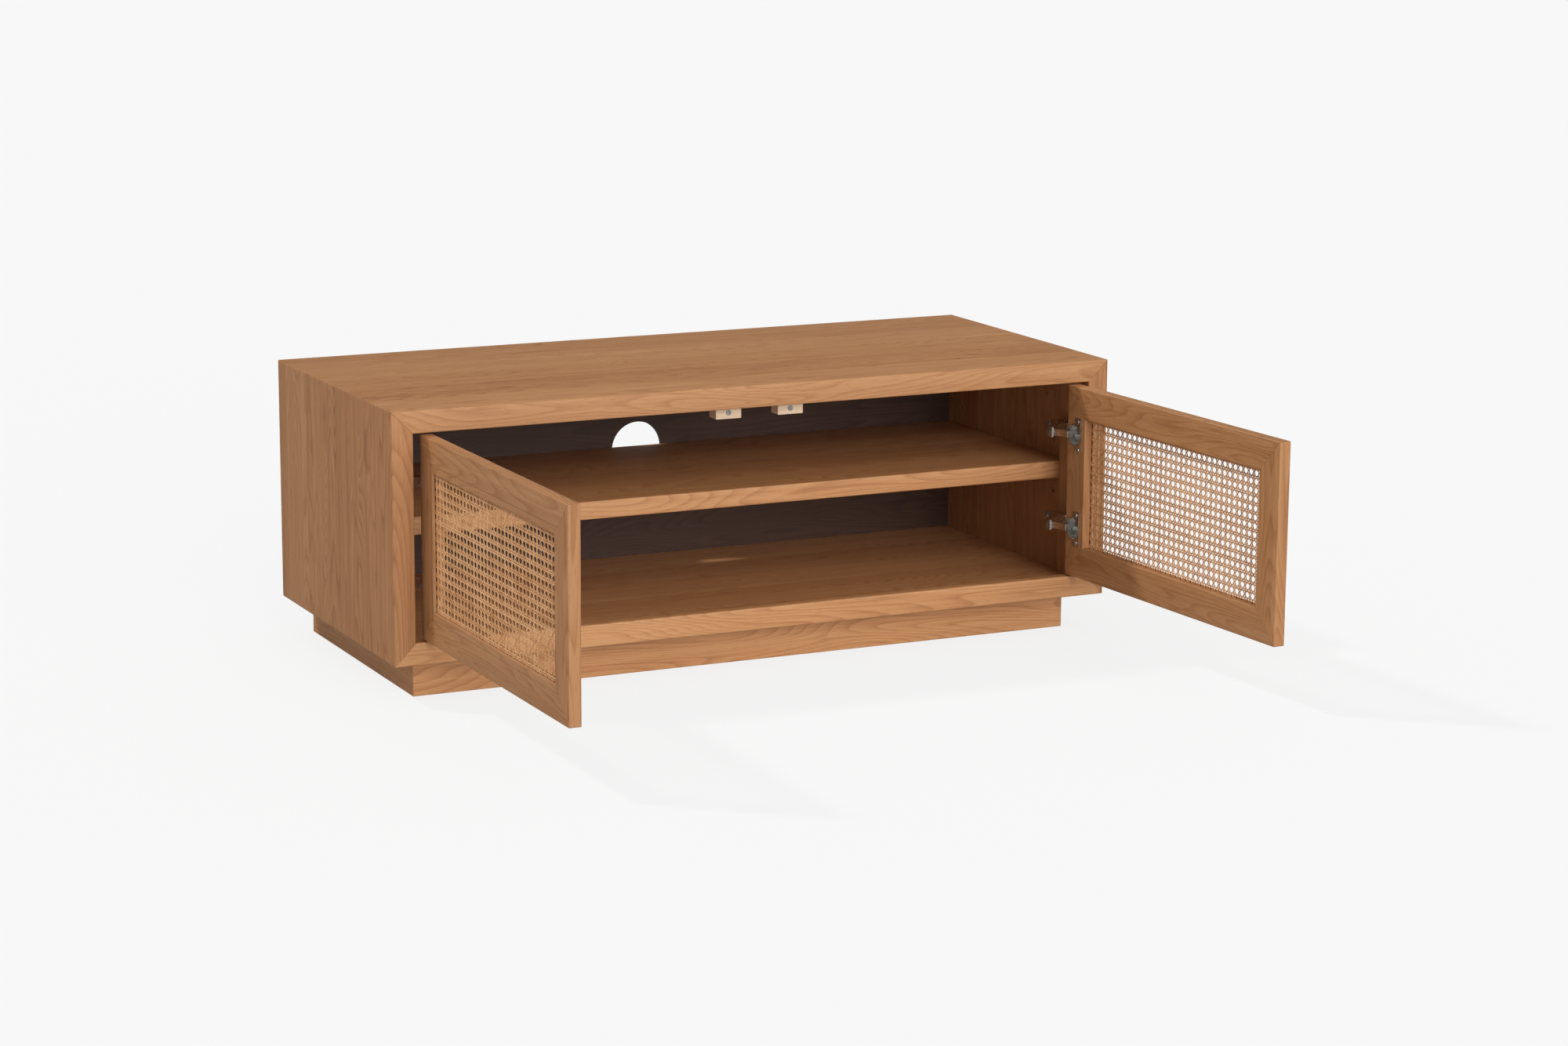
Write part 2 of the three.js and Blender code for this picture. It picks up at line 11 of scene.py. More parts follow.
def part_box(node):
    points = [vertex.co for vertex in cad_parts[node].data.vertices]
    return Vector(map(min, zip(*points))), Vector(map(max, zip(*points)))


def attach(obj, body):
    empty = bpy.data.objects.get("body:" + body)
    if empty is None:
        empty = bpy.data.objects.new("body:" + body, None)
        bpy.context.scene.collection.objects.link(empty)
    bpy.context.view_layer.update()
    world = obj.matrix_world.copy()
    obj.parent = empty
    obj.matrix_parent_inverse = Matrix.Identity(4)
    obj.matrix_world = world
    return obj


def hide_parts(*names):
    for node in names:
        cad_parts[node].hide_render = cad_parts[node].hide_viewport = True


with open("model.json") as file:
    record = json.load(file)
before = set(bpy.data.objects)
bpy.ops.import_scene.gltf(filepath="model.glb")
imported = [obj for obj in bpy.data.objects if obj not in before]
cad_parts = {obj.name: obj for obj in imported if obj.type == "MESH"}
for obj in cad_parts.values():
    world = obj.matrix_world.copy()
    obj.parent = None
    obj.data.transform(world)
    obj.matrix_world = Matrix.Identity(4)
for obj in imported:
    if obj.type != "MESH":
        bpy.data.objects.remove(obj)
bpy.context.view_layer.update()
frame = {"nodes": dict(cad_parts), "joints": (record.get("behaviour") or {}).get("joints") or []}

MM = 0.001
HANDS = ("left", "right")
LEVELS = ("upper", "lower")
TOWARDS_HINGE = {"left": -1, "right": 1}

nodes = frame["nodes"]
joints = {joint["name"]: joint for joint in frame["joints"]}


# ---- Places worked out from the frame ------------------------------------------------------------


def closing_turn(hand):
    """The matrix that takes a point of the open door to where it is when the door is closed."""
    joint = joints[f"{hand}_door_hinge"]
    low, high = joint["range_deg"]
    angle = high if hand == "left" else low
    pivot = Matrix.Translation(joint["pos_m"])
    return pivot @ Matrix.Rotation(math.radians(angle), 4, "Z") @ pivot.inverted()


CLOSING = {hand: closing_turn(hand) for hand in HANDS}
OPENING = {hand: CLOSING[hand].inverted() for hand in HANDS}


def closed_box(node, hand):
    """Lowest and highest corner of a door's node when the door is closed."""
    points = np.array([CLOSING[hand] @ v.co for v in nodes[node].data.vertices])
    return Vector(points.min(0)), Vector(points.max(0))


# ---- Meshes --------------------------------------------------------------------------------------


def add_mesh(name, vertices, faces, material, body):
    """A new smooth-shaded piece that rides on a body and takes its finish from a slot."""
    mesh = bpy.data.meshes.new(name)
    mesh.from_pydata([tuple(v) for v in vertices], [], [tuple(f) for f in faces])
    mesh.validate()
    mesh.polygons.foreach_set("use_smooth", [True] * len(mesh.polygons))
    mesh.materials.append(material)
    piece = bpy.data.objects.new(name, mesh)
    bpy.context.scene.collection.objects.link(piece)
    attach(piece, body)
    return piece


def tube_faces(rings, sides, first=0):
    """Quads round a tube of so many rings, and a flat face over each end."""
    faces = []
    for ring in range(rings - 1):
        for side in range(sides):
            after = (side + 1) % sides
            low = first + ring * sides
            high = low + sides
            faces.append((low + side, low + after, high + after, high + side))
    faces.append([first + side for side in reversed(range(sides))])
    faces.append([first + (rings - 1) * sides + side for side in range(sides)])
    return faces


WELD_DISTANCE = 0.002 * MM
SHARP_ANGLE = 32  # degrees between two faces, past which their edge stays sharp


def shading_group():
    """A modifier's node group that joins a CAD mesh's split corners and shades its rounds smooth."""
    group = bpy.data.node_groups.new("eased_shading", "GeometryNodeTree")
    group.interface.new_socket("Geometry", in_out="INPUT", socket_type="NodeSocketGeometry")
    group.interface.new_socket("Geometry", in_out="OUTPUT", socket_type="NodeSocketGeometry")
    start = group.nodes.new("NodeGroupInput")
    end = group.nodes.new("NodeGroupOutput")
    bare = group.nodes.new("GeometryNodeRemoveAttribute")
    bare.inputs["Name"].default_value = "custom_normal"
    weld = group.nodes.new("GeometryNodeMergeByDistance")
    weld.inputs["Distance"].default_value = WELD_DISTANCE
    smooth = group.nodes.new("GeometryNodeSetShadeSmooth")
    smooth.domain = "FACE"
    sharpen = group.nodes.new("GeometryNodeSetShadeSmooth")
    sharpen.domain = "EDGE"
    sharpen.inputs["Shade Smooth"].default_value = False
    angle = group.nodes.new("GeometryNodeInputMeshEdgeAngle")
    steep = group.nodes.new("FunctionNodeCompare")
    steep.operation = "GREATER_THAN"
    steep.inputs["B"].default_value = math.radians(SHARP_ANGLE)
    links = group.links
    links.new(angle.outputs["Unsigned Angle"], steep.inputs["A"])
    links.new(steep.outputs["Result"], sharpen.inputs["Selection"])
    chain = [start, bare, weld, smooth, sharpen, end]
    for before, after in zip(chain, chain[1:]):
        links.new(before.outputs["Geometry"], after.inputs["Geometry"])
    return group


SHADING = shading_group()


def ease_shading(piece):
    """Shade a CAD piece's rounds smooth and leave its edges sharp."""
    modifier = piece.modifiers.new("eased_shading", "NODES")
    modifier.node_group = SHADING


FLAT_ANGLE = 1  # degrees between triangles that count as one flat face
EDGE_ANGLE = 50  # degrees between faces, past which their edge is bevelled


def ease_edges(piece, width):
    """Narrow bevels on the sharp edges of a metal part, so that they catch the light."""
    flat = piece.modifiers.new("flat_faces", "DECIMATE")
    flat.decimate_type = "DISSOLVE"
    flat.angle_limit = math.radians(FLAT_ANGLE)
    bevel = piece.modifiers.new("eased_edges", "BEVEL")
    bevel.width = width
    bevel.segments = 2
    bevel.limit_method = "ANGLE"
    bevel.angle_limit = math.radians(EDGE_ANGLE)
    bevel.use_clamp_overlap = True


# ---- Materials -----------------------------------------------------------------------------------


class Shader:
    """A material's node tree, with a short method for each kind of node that the materials use."""

    def __init__(self, name):
        self.material = bpy.data.materials.new(name)
        self.material.use_nodes = True
        self.tree = self.material.node_tree
        self.tree.nodes.clear()

    def node(self, kind, inputs, **settings):
        """A node with its settings made. An input is linked if it is a socket, and set if it is a value."""
        node = self.tree.nodes.new(kind)
        for key, value in settings.items():
            setattr(node, key, value)
        for key, value in inputs.items():
            if isinstance(value, bpy.types.NodeSocket):
                self.tree.links.new(value, node.inputs[key])
            else:
                node.inputs[key].default_value = value
        return node

    def math(self, operation, a, b=0.0, c=0.0):
        return self.node("ShaderNodeMath", {0: a, 1: b, 2: c}, operation=operation).outputs[0]

    def vector(self, operation, a, b):
        return self.node("ShaderNodeVectorMath", {0: a, 1: b}, operation=operation).outputs["Vector"]

    def noise(self, place, stretch, detail=2.0, roughness=0.5, distortion=0.0):
        """Noise that repeats so many times to the metre along each axis."""
        inputs = {
            "Vector": self.vector("MULTIPLY", place, stretch),
            "Scale": 1.0,
            "Detail": detail,
            "Roughness": roughness,
            "Distortion": distortion,
        }
        return self.node("ShaderNodeTexNoise", inputs).outputs["Fac"]

    def scaled(self, value, from_low, from_high, to_low, to_high):
        """A value taken from one range to another, and held inside it."""
        inputs = {"Value": value, 1: from_low, 2: from_high, 3: to_low, 4: to_high}
        return self.node("ShaderNodeMapRange", inputs).outputs["Result"]

    def ramp(self, value, stops):
        """A colour picked by a value, from stops that each have a position and a colour."""
        node = self.node("ShaderNodeValToRGB", {"Fac": value})
        elements = node.color_ramp.elements
        while len(elements) < len(stops):
            elements.new(0.5)
        for element, (position, colour) in zip(elements, stops):
            element.position = position
            element.color = (*colour, 1.0)
        return node.outputs["Color"]

    def shade(self, colour, factor, tint):
        """The colour multiplied by a tint as far as the factor says."""
        inputs = {"Factor": factor, 6: colour, 7: (*tint, 1.0)}
        return self.node("ShaderNodeMix", inputs, data_type="RGBA", blend_type="MULTIPLY").outputs[2]

    def finish(self, colour, roughness, height, bump_distance, **constants):
        """The surface itself. The constants go straight onto the shader's own sockets."""
        bump = self.node("ShaderNodeBump", {"Height": height, "Strength": 1.0, "Distance": bump_distance})
        inputs = {"Base Color": colour, "Roughness": roughness, "Normal": bump.outputs["Normal"]}
        inputs.update({key.replace("_", " "): value for key, value in constants.items()})
        surface = self.node("ShaderNodeBsdfPrincipled", inputs)
        self.node("ShaderNodeOutputMaterial", {"Surface": surface.outputs["BSDF"]})
        return self.material


OAK = ((0.250, 0.096, 0.032), (0.410, 0.183, 0.070), (0.510, 0.260, 0.112))
# Dark oak, darkened further as painted shade for the dim inside of the cabinet, where the back panel lies.
DARK_OAK_AND_PAINTED_SHADE = ((0.028, 0.010, 0.005), (0.048, 0.018, 0.009), (0.070, 0.028, 0.014))
# The same oak painted lighter: painted light on the shelf, the bottom and the plinth, which lie in shade
# under the overhang and inside the cabinet.
OAK_WITH_PAINTED_LIGHT = ((0.315, 0.125, 0.043), (0.510, 0.238, 0.095), (0.630, 0.335, 0.150))
PALE_WOOD = ((0.52, 0.36, 0.22), (0.66, 0.48, 0.32), (0.74, 0.56, 0.40))

CANE_TONES = ((0.48, 0.215, 0.075), (0.72, 0.370, 0.160), (0.86, 0.52, 0.27))
PORE_TINT = (0.50, 0.40, 0.33)

STAVE = 97 * MM
STAVE_OVERHANG = 3 * MM  # keeps a joint clear of the front face

# How often each pattern in the wood repeats to the metre, along the grain and twice across it.
ARCHES = (1.5, 13, 13)
FIBRE = (7, 420, 420)
STREAKS = (1.2, 70, 70)
CLOUDS = (1.1, 3.5, 3.5)
PORES = (50, 1100, 1100)

RING_COUNT = 30  # growth rings over the range of the arches
RING_DEPTH = 0.26  # how much a ring darkens the wood
BASE_LIGHT = 0.09
FIBRE_LIGHT = 0.34
STREAK_LIGHT = 0.36
CLOUD_LIGHT = 0.22
BOARD_LIGHT = 0.16  # how much one board differs from the next

ALONG_X = Matrix.Identity(3)
ALONG_Y = Matrix.Rotation(math.radians(-90), 3, "Z")
ALONG_Z = Matrix.Rotation(math.radians(90), 3, "Y")


def wood(name, tones, turn, board=0.0, board_edge=0.0, seed=0.0):
    """Flat-sawn boards. `turn` brings the grain onto X. Boards glued edge to edge are `board` wide,
    with one edge at `board_edge` across the grain; a single board has a width of 0."""
    s = Shader(name)
    place = s.node("ShaderNodeTexCoord", {}).outputs["Object"]
    inputs = {"Vector": place, "Rotation": turn.to_euler("XYZ")}
    grain = s.node("ShaderNodeMapping", inputs).outputs["Vector"]
    grain = s.vector("ADD", grain, (seed * 1.7, seed * 0.31, seed * 0.23))
    tone = 0.5
    if board:
        across = s.node("ShaderNodeSeparateXYZ", {"Vector": place}).outputs["Y"]
        count = s.math("FLOOR", s.math("DIVIDE", s.math("SUBTRACT", across, board_edge), board))
        pick = s.node("ShaderNodeTexWhiteNoise", {"W": s.math("ADD", count, seed)}, noise_dimensions="1D")
        grain = s.vector("ADD", grain, s.vector("MULTIPLY", pick.outputs["Color"], (5.0, 0.7, 0.7)))
        tone = pick.outputs["Value"]

    # Each ring darkens slowly and ends sharply.
    arches = s.noise(grain, ARCHES, detail=1.0, distortion=0.3)
    season = s.math("FRACT", s.math("MULTIPLY", arches, RING_COUNT))
    rings = s.math("MULTIPLY", s.math("POWER", season, 2.5), s.scaled(season, 0.9, 1.0, 1.0, 0.0))
    fibre = s.noise(grain, FIBRE, detail=3.0, roughness=0.6)
    streaks = s.noise(grain, STREAKS)
    clouds = s.noise(grain, CLOUDS)
    pores = s.scaled(s.noise(grain, PORES, detail=1.0), 0.60, 0.72, 0.0, 1.0)

    light = s.math("MULTIPLY_ADD", rings, -RING_DEPTH, BASE_LIGHT)
    parts = ((fibre, FIBRE_LIGHT), (streaks, STREAK_LIGHT), (clouds, CLOUD_LIGHT), (tone, BOARD_LIGHT))
    for pattern, share in parts:
        light = s.math("MULTIPLY_ADD", pattern, share, light)
    colour = s.ramp(light, list(zip((0.22, 0.52, 0.80), tones)))
    colour = s.shade(colour, s.math("MULTIPLY", pores, 0.35), PORE_TINT)

    roughness = s.scaled(fibre, 0.3, 0.7, 0.40, 0.54)
    height = s.math("SUBTRACT", s.math("MULTIPLY", fibre, 0.5), s.math("MULTIPLY", pores, 0.8))
    return s.finish(colour, roughness, height, 0.12 * MM, IOR=1.46)


def cane_material():
    """Split rattan: each strand has its own tone, with fine lines along it and darker nodes."""
    s = Shader("cane")
    place = s.node("ShaderNodeTexCoord", {}).outputs["Object"]
    tone = s.node("ShaderNodeAttribute", {}, attribute_name="strand_tone").outputs["Fac"]
    mottle = s.noise(place, (60, 60, 60), detail=2.0)
    fine = s.noise(place, (900, 900, 900), detail=2.0)
    light = s.math("MULTIPLY_ADD", tone, 0.55, s.math("MULTIPLY", mottle, 0.40))
    light = s.math("MULTIPLY_ADD", fine, 0.15, light)
    colour = s.ramp(light, list(zip((0.20, 0.55, 0.85), CANE_TONES)))
    roughness = s.scaled(fine, 0.3, 0.7, 0.34, 0.50)
    return s.finish(colour, roughness, fine, 0.03 * MM, IOR=1.5)


def metal(name, dark, bright, smoothest, roughest):
    """Plated steel with faint clouding and fine drawn lines."""
    s = Shader(name)
    place = s.node("ShaderNodeTexCoord", {}).outputs["Object"]
    clouds = s.noise(place, (90, 90, 90), detail=3.0)
    lines = s.noise(place, (3000, 3000, 400), detail=2.0)
    colour = s.ramp(clouds, [(0.3, dark), (0.7, bright)])
    roughness = s.scaled(clouds, 0.3, 0.7, smoothest, roughest)
    return s.finish(colour, roughness, lines, 0.01 * MM, Metallic=1.0)


NICKEL = metal("nickel", (0.70, 0.68, 0.64), (0.88, 0.86, 0.82), 0.20, 0.32)
STEEL = metal("steel", (0.48, 0.49, 0.50), (0.68, 0.69, 0.71), 0.24, 0.38)
CANE = cane_material()


def dress(node, material):
    """Give a CAD piece its material."""
    piece = nodes[node]
    piece.data.materials.clear()
    piece.data.materials.append(material)
    ease_shading(piece)


def dress_carcass():
    """Boards glued edge to edge. The first joint lies a stave's width behind the front."""
    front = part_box("top")[0].y - STAVE_OVERHANG
    dress("top", wood("oak_top", OAK, ALONG_X, STAVE, front, seed=3.0))
    # The bottom, the shelf and the plinth take the oak painted lighter, as painted light where they lie in
    # shade.
    dress("bottom", wood("oak_bottom", OAK_WITH_PAINTED_LIGHT, ALONG_X, STAVE, front, seed=11.0))
    dress("left_side", wood("oak_left_side", OAK, ALONG_Z, STAVE, front, seed=21.0))
    dress("right_side", wood("oak_right_side", OAK, ALONG_Z, STAVE, front, seed=34.0))
    dress("shelf", wood("oak_shelf", OAK_WITH_PAINTED_LIGHT, ALONG_X, STAVE, front, seed=47.0))
    # The back panel's colour is darkened further as painted shade for the inside of the cabinet.
    dress("back_panel", wood("oak_back", DARK_OAK_AND_PAINTED_SHADE, ALONG_X, seed=52.0))
    plinth = (("front", ALONG_X), ("back", ALONG_X), ("left", ALONG_Y), ("right", ALONG_Y))
    for i, (side, turn) in enumerate(plinth):
        dress(f"plinth_{side}", wood(f"oak_plinth_{side}", OAK_WITH_PAINTED_LIGHT, turn, seed=60.0 + i))
    dress("plinth_stretcher", wood("oak_stretcher", OAK, ALONG_Y, seed=66.0))


def dress_doors():
    """Rails and their beads have grain along the door, stiles and theirs up it."""
    for h, hand in enumerate(HANDS):
        closing = CLOSING[hand].to_3x3()
        for i, part in enumerate(("top_rail", "bottom_rail", "top_bead", "bottom_bead")):
            name = f"{hand}_door_{part}"
            dress(name, wood(f"oak_{name}", OAK, ALONG_X @ closing, seed=70.0 + 20 * h + i))
        for i, part in enumerate(("hinge_stile", "free_stile", "hinge_bead", "free_bead")):
            name = f"{hand}_door_{part}"
            dress(name, wood(f"oak_{name}", OAK, ALONG_Z @ closing, seed=78.0 + 20 * h + i))
        dress(f"{hand}_door_strike", STEEL)


HINGE_BEVEL = 0.25 * MM


def dress_fittings():
    """The catches, the shelf pins and the hinges."""
    pale = wood("pale_block", PALE_WOOD, ALONG_X, seed=5.0)
    for hand in HANDS:
        dress(f"catch_block_{hand}", pale)
        dress(f"catch_magnet_{hand}", STEEL)
        for row in ("front", "back"):
            dress(f"shelf_pin_{hand}_{row}", STEEL)
        for level in LEVELS:
            for part in ("cup", "plate", "arm", "link"):
                name = f"hinge_{part}_{hand}_{level}"
                dress(name, NICKEL)
                ease_edges(nodes[name], HINGE_BEVEL)
            dress(f"hinge_pin_{hand}_{level}", STEEL)


# ---- Cane ----------------------------------------------------------------------------------------

CANE_PITCH = 13.3 * MM
CANE_WIDTH = 1.9 * MM
CANE_THICKNESS = 0.42 * MM
PAIR_HALF_GAP = 1.6 * MM  # from the middle of a pair of strands to the middle of each
PAIR_LIFT = 0.24 * MM
DIAGONAL_LIFT = 0.48 * MM
CANE_SAMPLES = 4  # to one pitch
WIDTH_SPREAD = 0.07  # how far a strand's width strays, as a share of it
STRAY = 0.12 * MM  # how far a strand lies from its line

# A strand's section: places across it, in half widths, and up from it, in thicknesses.
STRAND_SECTION = ((-1, -0.15), (-0.55, 0.42), (0.55, 0.42), (1, -0.15), (0, -0.5))


class Weave:
    """Strands of cane in the plane of a panel. Places are (along, up), and lift is towards the front."""

    def __init__(self, size, seed):
        self.size = size
        self.random = random.Random(seed)
        self.points = []
        self.faces = []
        self.tones = []
        self.start = [(extent - round(extent / CANE_PITCH) * CANE_PITCH) / 2 for extent in size]

    def strand(self, start, end, lift):
        """One flat strand, domed on its front. `lift` takes the places of its samples, as an array."""
        start, end = np.array(start), np.array(end)
        length = np.linalg.norm(end - start)
        if length < CANE_PITCH / 2:
            return
        count = max(2, int(round(length / CANE_PITCH * CANE_SAMPLES)) + 1)
        line = start + np.linspace(0, 1, count)[:, None] * (end - start)
        direction = (end - start) / length
        side = np.array([-direction[1], direction[0]])
        half = CANE_WIDTH / 2 * self.random.uniform(1 - WIDTH_SPREAD, 1 + WIDTH_SPREAD)
        line = line + side * self.random.uniform(-STRAY, STRAY)
        height = lift(line)
        rings = [
            np.column_stack([line + side * half * across, height + CANE_THICKNESS * rise])
            for across, rise in STRAND_SECTION
        ]
        first = len(self.tones)
        self.points.append(np.stack(rings, axis=1).reshape(-1, 3))
        self.faces.extend(tube_faces(count, len(STRAND_SECTION), first))
        self.tones.extend([self.random.random()] * (count * len(STRAND_SECTION)))

    def wave(self, places, axis):
        """1 on the lines of pairs across an axis, and -1 half way between them."""
        return np.cos(2 * math.pi * (places[:, axis] - self.start[axis]) / CANE_PITCH)

    def pairs(self, axis):
        """Two strands side by side on each line across an axis. One lies over what it crosses."""
        for i in range(int(self.size[axis] / CANE_PITCH) + 1):
            for sign in (-1, 1):
                at = self.start[axis] + i * CANE_PITCH + sign * PAIR_HALF_GAP
                if 0 < at < self.size[axis]:
                    ends = [[at, 0], [at, self.size[1]]] if axis == 0 else [[0, at], [self.size[0], at]]
                    over = sign if axis == 0 else -sign
                    other = 1 - axis
                    self.strand(*ends, lambda p: over * PAIR_LIFT * (0.5 + 0.5 * self.wave(p, other)))

    def diagonals(self, slope):
        """One strand through the middle of each side of the pairs' squares, over the upright pairs on one
        slope and over the level pairs on the other."""
        width, height = self.size
        reach = int((width + height) / CANE_PITCH) + 2
        for i in range(-reach, reach):
            rise = self.start[1] - slope * self.start[0] + (i + 0.5) * CANE_PITCH
            crossings = sorted([-rise / slope, (height - rise) / slope])
            low, high = max(0, crossings[0]), min(width, crossings[1])
            if low < high:
                ends = [[low, slope * low + rise], [high, slope * high + rise]]
                self.strand(*ends, lambda p: slope * DIAGONAL_LIFT * self.wave(p, 0))


def weave_cane(hand, seed):
    """The woven sheet that takes the place of a door's plain cane panel."""
    name = f"{hand}_door_cane"
    low, high = closed_box(name, hand)
    weave = Weave((high.x - low.x, high.z - low.z), seed)
    for axis in (0, 1):
        weave.pairs(axis)
    for slope in (-1, 1):
        weave.diagonals(slope)
    middle = (low.y + high.y) / 2
    points = np.concatenate(weave.points)
    closed = [Vector((low.x + along, middle - lift, low.z + up)) for along, up, lift in points]
    places = [OPENING[hand] @ point for point in closed]
    piece = add_mesh(f"{hand}_cane_weave", places, weave.faces, CANE, f"{hand}_door")
    tones = piece.data.attributes.new("strand_tone", "FLOAT", "POINT")
    tones.data.foreach_set("value", weave.tones)
    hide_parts(name)


# ---- Screws --------------------------------------------------------------------------------------

SCREW_SIDES = 48
SCREW_RINGS = 22
SCREW_UNDERSIDE = 0.2 * MM  # below the surface that the head sits on
RECESS_HALF_WIDTH = 0.13  # of one arm of the cross, as a share of the head's radius
RECESS_REACH = 0.62  # the same, from the middle to the arm's end
DOME_SHAPE = 2.6  # a higher number makes a flatter dome with a rounder rim

# Each head's radius, the height of its dome, and the depth of its recess.
FLANGE_SCREW = (3.4 * MM, 1.7 * MM, 1.1 * MM)
PLATE_SCREW = (3.3 * MM, 1.5 * MM, 1.0 * MM)
ARM_SCREW = (2.9 * MM, 1.1 * MM, 0.8 * MM)

FLANGE_SCREW_SPREAD = 22.5 * MM
FLANGE_SCREW_INSET = 8.5 * MM  # from the flange's long free edge
WING_SCREW_SPREAD = 21 * MM
ARM_SCREW_INSETS = (8 * MM, 22 * MM)  # from the arm's back end


def screw_mesh(radius, dome, recess):
    """A pan head with a cross recess, round +Z, with its underside just below z = 0."""
    arm_half = radius * RECESS_HALF_WIDTH
    arm_reach = radius * RECESS_REACH
    points = [(0.0, 0.0, dome - recess)]
    for ring in range(1, SCREW_RINGS + 1):
        r = radius * ring / SCREW_RINGS
        for side in range(SCREW_SIDES):
            angle = 2 * math.pi * side / SCREW_SIDES
            x, y = r * math.cos(angle), r * math.sin(angle)
            z = dome * math.sqrt(max(0.0, 1 - (r / radius) ** DOME_SHAPE))
            if min(abs(x), abs(y)) < arm_half and max(abs(x), abs(y)) < arm_reach:
                z -= recess * (1 - 0.5 * r / arm_reach)
            points.append((x, y, z))
    for side in range(SCREW_SIDES):
        angle = 2 * math.pi * side / SCREW_SIDES
        points.append((radius * math.cos(angle), radius * math.sin(angle), -SCREW_UNDERSIDE))
    faces = [(0, 1 + side, 1 + (side + 1) % SCREW_SIDES) for side in range(SCREW_SIDES)]
    # The rings run outwards and down, so the tube's quads are turned over, and its ends are left off.
    rim = tube_faces(SCREW_RINGS + 1, SCREW_SIDES, 1)[:-2]
    faces += [tuple(reversed(face)) for face in rim]
    last = 1 + SCREW_RINGS * SCREW_SIDES
    faces.append([last + side for side in reversed(range(SCREW_SIDES))])
    return points, faces


def add_screw(name, place, axis, body, head):
    """A screw's head on a surface, facing along an axis. `head` is one of the sizes above."""
    points, faces = screw_mesh(*head)
    turn = Vector(axis).to_track_quat("Z", "Y").to_matrix().to_4x4()
    stand = Matrix.Translation(place) @ turn
    places = [stand @ Vector(point) for point in points]
    add_mesh(name, places, faces, STEEL, body)


def add_flange_screws(hand, level):
    """Two wood screws through the ears of a cup's flange into the door's back."""
    low, high = closed_box(f"hinge_cup_{hand}_{level}", hand)
    side = TOWARDS_HINGE[hand]
    free_edge = low.x if side > 0 else high.x
    for i, sign in enumerate((-1, 1)):
        height = (low.z + high.z) / 2 + sign * FLANGE_SCREW_SPREAD
        closed = Vector((free_edge + side * FLANGE_SCREW_INSET, high.y, height))
        axis = OPENING[hand].to_3x3() @ Vector((0, 1, 0))
        name = f"screw_flange_{hand}_{level}_{i + 1}"
        add_screw(name, OPENING[hand] @ closed, axis, f"{hand}_door", FLANGE_SCREW)


def add_plate_screws(hand, level):
    """Two screws through the wings of a mounting plate, and two on the arm over it."""
    side = TOWARDS_HINGE[hand]
    inwards = (-side, 0, 0)
    plate = nodes[f"hinge_plate_{hand}_{level}"]
    low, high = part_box(plate.name)
    middle = (low.z + high.z) / 2
    wing = [v.co for v in plate.data.vertices if abs(v.co.z - middle) > WING_SCREW_SPREAD]
    face = min(abs(point.x) for point in wing)
    row = sum(point.y for point in wing) / len(wing)
    for i, sign in enumerate((-1, 1)):
        place = Vector((side * face, row, middle + sign * WING_SCREW_SPREAD))
        name = f"screw_plate_{hand}_{level}_{i + 1}"
        add_screw(name, place, inwards, "cabinet", PLATE_SCREW)

    arm_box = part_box(f"hinge_arm_{hand}_{level}")
    arm = [v.co for v in nodes[f"hinge_arm_{hand}_{level}"].data.vertices]
    back = arm_box[1].y
    tail = [abs(point.x) for point in arm if point.y > back - ARM_SCREW_INSETS[0]]
    for i, inset in enumerate(ARM_SCREW_INSETS):
        place = Vector((side * min(tail), back - inset, middle))
        name = f"screw_arm_{hand}_{level}_{i + 1}"
        add_screw(name, place, inwards, "cabinet", ARM_SCREW)


# ---- Studio and camera ---------------------------------------------------------------------------

BACKGROUND = 0.94
FLOOR_SHADOW = 0.18  # the share of the floor's brightness that shadows can take away
FLOOR_MIRRORED = 0.20  # how bright the floor is in reflections
FLOOR_TONES = ((0.0, (0.59, 0.59, 0.59)), (1.0, (0.61, 0.61, 0.61)))
FLOOR_REACH = 60.0  # metres from the middle to each edge


def add_floor(shown):
    """A plain pale floor. The camera sees most of its brightness as even light, so shadows stay faint."""
    s = Shader("studio_floor")
    place = s.node("ShaderNodeTexCoord", {}).outputs["Object"]
    patch = s.noise(place, (0.5, 0.5, 0.5))
    colour = s.ramp(patch, FLOOR_TONES)
    paint = s.node("ShaderNodeBsdfDiffuse", {"Color": colour}).outputs["BSDF"]
    even = s.node("ShaderNodeEmission", {"Strength": shown}).outputs["Emission"]
    seen = s.node("ShaderNodeMixShader", {"Fac": FLOOR_SHADOW, 1: even, 2: paint}).outputs["Shader"]
    dim = s.node("ShaderNodeEmission", {"Strength": FLOOR_MIRRORED}).outputs["Emission"]
    ray = s.node("ShaderNodeLightPath", {}).outputs
    bounced = {"Fac": ray["Is Glossy Ray"], 1: paint, 2: dim}
    bounced = s.node("ShaderNodeMixShader", bounced).outputs["Shader"]
    surface = {"Fac": ray["Is Camera Ray"], 1: bounced, 2: seen}
    surface = s.node("ShaderNodeMixShader", surface).outputs["Shader"]
    s.node("ShaderNodeOutputMaterial", {"Surface": surface})
    mesh = bpy.data.meshes.new("studio_floor")
    corners = [(FLOOR_REACH * x, FLOOR_REACH * y, 0) for x, y in ((-1, -1), (1, -1), (1, 1), (-1, 1))]
    mesh.from_pydata(corners, [], [(0, 1, 2, 3)])
    mesh.materials.append(s.material)
    floor = bpy.data.objects.new("studio_floor", mesh)
    bpy.context.scene.collection.objects.link(floor)


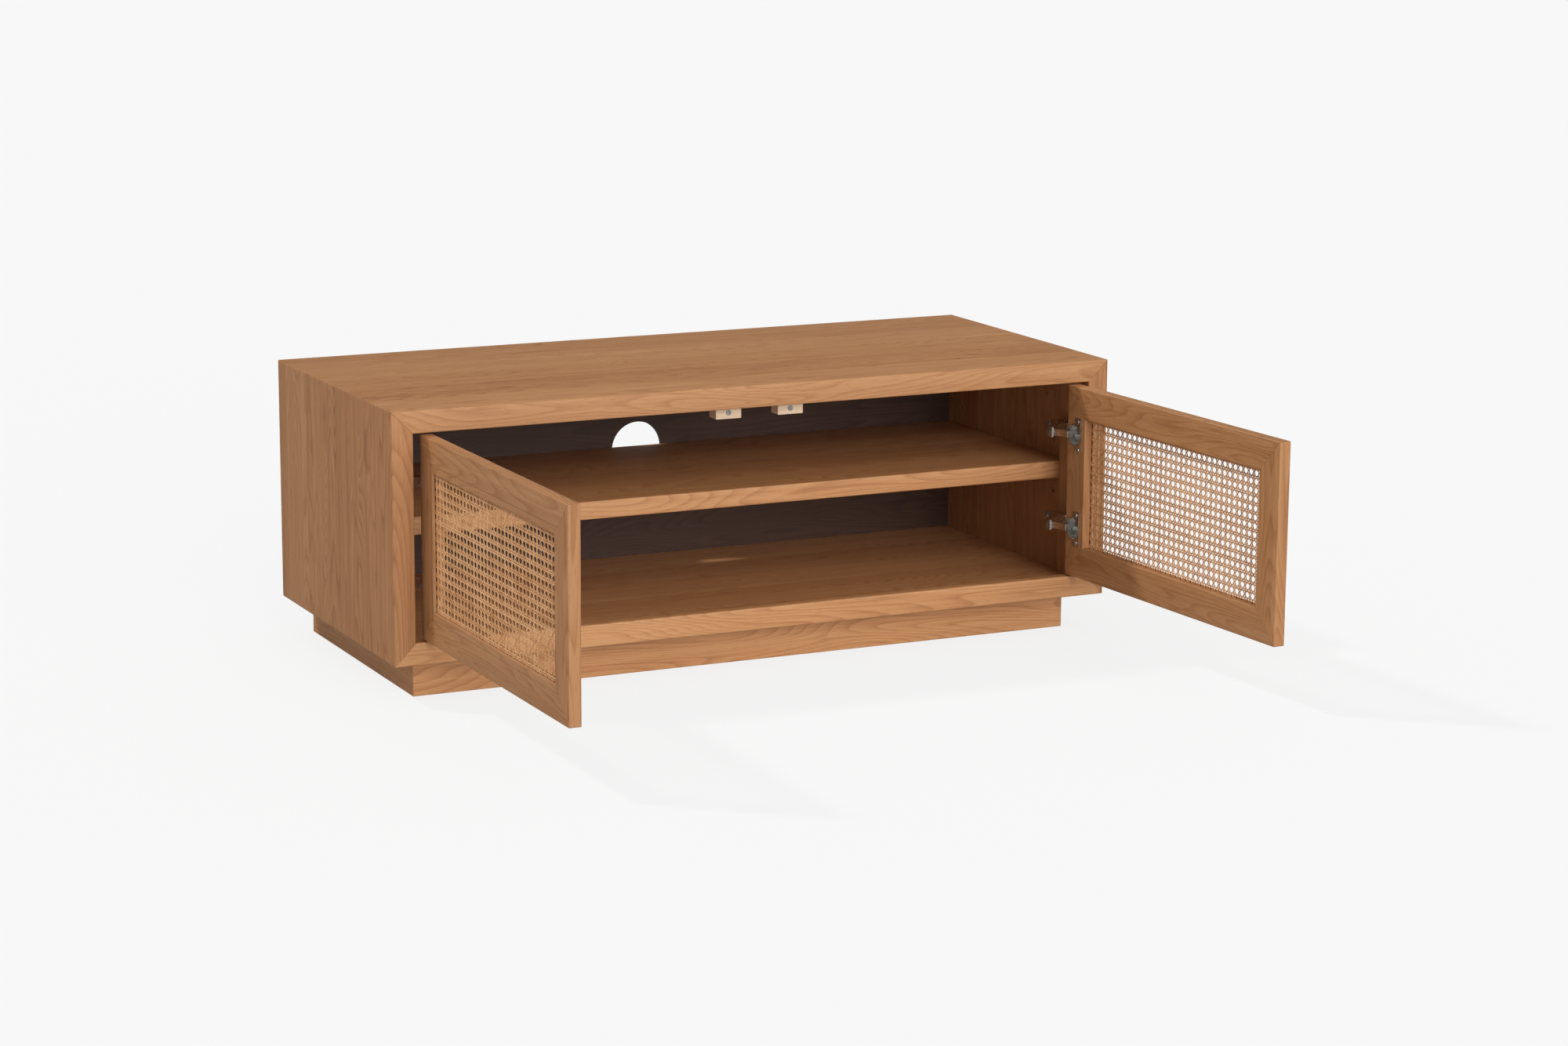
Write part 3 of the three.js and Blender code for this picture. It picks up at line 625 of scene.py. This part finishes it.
def add_world(lit, mirrored, shown):
    """An even surround: one brightness for lighting, one in reflections, and one for the camera."""
    world = bpy.data.worlds.new("studio")
    bpy.context.scene.world = world
    world.use_nodes = True
    tree = world.node_tree
    tree.nodes.clear()
    path = tree.nodes.new("ShaderNodeLightPath")
    shader = None
    for strength, ray in ((lit, None), (mirrored, "Is Glossy Ray"), (shown, "Is Camera Ray")):
        background = tree.nodes.new("ShaderNodeBackground")
        background.inputs["Color"].default_value = (1, 1, 1, 1)
        background.inputs["Strength"].default_value = strength
        if shader is None:
            shader = background.outputs[0]
            continue
        mix = tree.nodes.new("ShaderNodeMixShader")
        tree.links.new(path.outputs[ray], mix.inputs[0])
        tree.links.new(shader, mix.inputs[1])
        tree.links.new(background.outputs[0], mix.inputs[2])
        shader = mix.outputs[0]
    out = tree.nodes.new("ShaderNodeOutputWorld")
    tree.links.new(shader, out.inputs["Surface"])


def add_sun(name, coming_from, strength, spread):
    """Soft light from one direction. The spread is the lamp's width across the sky, in degrees."""
    light = bpy.data.lights.new(name, "SUN")
    light.energy = strength
    light.angle = math.radians(spread)
    lamp = bpy.data.objects.new(name, light)
    bpy.context.scene.collection.objects.link(lamp)
    lamp.rotation_euler = Vector(coming_from).to_track_quat("Z", "Y").to_euler()


def add_camera(place, yaw, pitch, roll, lens):
    """Yaw turns the view from +Y towards +X, pitch tips it down, and roll turns the picture."""
    yaw, pitch, roll = (math.radians(angle) for angle in (yaw, pitch, roll))
    ahead = Vector((math.sin(yaw) * math.cos(pitch), math.cos(yaw) * math.cos(pitch), -math.sin(pitch)))
    level = Vector((math.cos(yaw), -math.sin(yaw), 0))
    upright = level.cross(ahead)
    right = math.cos(roll) * level + math.sin(roll) * upright
    up = math.cos(roll) * upright - math.sin(roll) * level
    camera = bpy.data.objects.new("camera", bpy.data.cameras.new("camera"))
    bpy.context.scene.collection.objects.link(camera)
    turn = Matrix((right, up, -ahead)).transposed()
    camera.matrix_world = Matrix.Translation(place) @ turn.to_4x4()
    camera.data.lens = lens
    camera.data.sensor_width = 36
    camera.data.clip_end = 200
    bpy.context.scene.camera = camera


# ---- The whole scene -----------------------------------------------------------------------------

dress_carcass()
dress_doors()
dress_fittings()
for seed, hand in enumerate(HANDS):
    weave_cane(hand, seed)
    for level in LEVELS:
        add_flange_screws(hand, level)
        add_plate_screws(hand, level)

add_floor(shown=1.00)
add_world(lit=0.44, mirrored=0.10, shown=BACKGROUND)
add_sun("key", (0.06, -0.88, 0.36), 1.15, 45)
add_sun("into_the_cabinet", (-0.08, -0.97, 0.20), 1.0, 25)
add_sun("overhead", (0.10, -0.20, 0.97), 0.40, 45)
add_sun("from_behind", (-0.52, 0.45, 0.73), 1.4, 5)
add_camera(place=(-2.380, -5.244, 1.375), yaw=25.825, pitch=11.748, roll=0.355, lens=84.93)
bpy.context.scene.view_settings.view_transform = "Standard"
